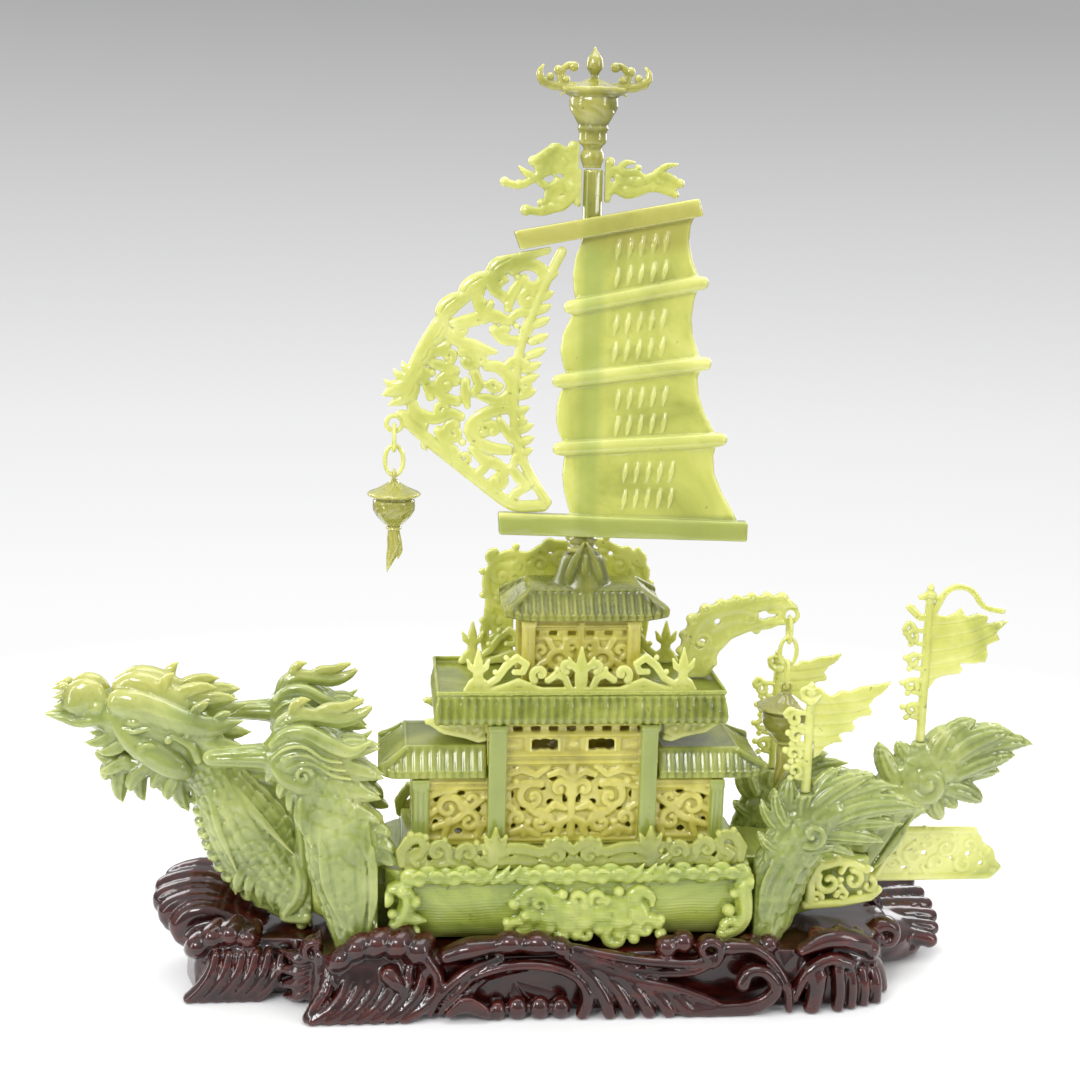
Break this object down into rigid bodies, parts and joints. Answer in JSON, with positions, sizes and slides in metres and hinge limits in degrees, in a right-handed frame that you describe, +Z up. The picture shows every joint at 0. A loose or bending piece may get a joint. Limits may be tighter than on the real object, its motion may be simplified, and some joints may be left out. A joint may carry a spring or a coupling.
{
  "type": "carved stone dragon boat on a wood stand",
  "caption": "Pierced serpentine carving of a dragon boat with cabin, mast, sail, hanging lanterns and flags, on a carved wood stand.",
  "frame": {"origin": "centre of the overall box on the ground, under the stand", "axes": "+X along the boat from prow to stern, +Y to the far side of the boat, +Z up"},
  "size_m": [0.974, 0.2246, 0.895],
  "materials": {
    "stand_wood": "dark red-brown lacquer, high gloss",
    "hull_stone": "polished yellow-green serpentine, slightly translucent",
    "green_stone": "polished light green serpentine, slightly translucent",
    "yellow_stone": "polished pale yellow serpentine, translucent where thin",
    "olive_stone": "polished olive serpentine"
  },
  "bodies": {
    "root": {"stand": "stand_wood", "hull": "hull_stone", "dragon_prow": "green_stone", "phoenix_prow_near": "green_stone", "phoenix_prow_far": "green_stone", "tail_centre": "green_stone", "tail_near": "green_stone", "tail_far": "green_stone", "flag_centre": "yellow_stone", "flag_near": "yellow_stone", "flag_far": "yellow_stone", "rudder": "yellow_stone", "stern_scroll_near": "yellow_stone", "stern_scroll_far": "yellow_stone", "cabin_side_near": "yellow_stone", "cabin_side_far": "yellow_stone", "cabin_end_fore": "yellow_stone", "cabin_end_aft": "yellow_stone", "main_roof": "olive_stone", "fore_roof": "olive_stone", "aft_roof": "olive_stone", "pavilion_roof": "olive_stone", "pavilion_side_near": "yellow_stone", "pavilion_side_far": "yellow_stone", "deck_rail_near": "hull_stone", "deck_rail_far": "hull_stone", "roof_rail_near": "yellow_stone", "roof_rail_far": "yellow_stone", "cloud_screen": "yellow_stone", "bracket_fore_near": "yellow_stone", "bracket_fore_far": "yellow_stone", "bracket_aft_near": "yellow_stone", "bracket_aft_far": "yellow_stone", "mast": "green_stone", "sail": "yellow_stone", "jib": "yellow_stone", "front_link_upper": "yellow_stone", "front_link_ring": "yellow_stone", "front_lantern": "olive_stone", "aft_bracket": "yellow_stone", "aft_link_upper": "yellow_stone", "aft_link_ring": "yellow_stone", "aft_link_lower": "yellow_stone", "aft_lantern": "olive_stone", "masthead_cloud_fore": "yellow_stone", "masthead_cloud_aft": "yellow_stone", "top_lantern": "olive_stone"}
  },
  "joints": []
}
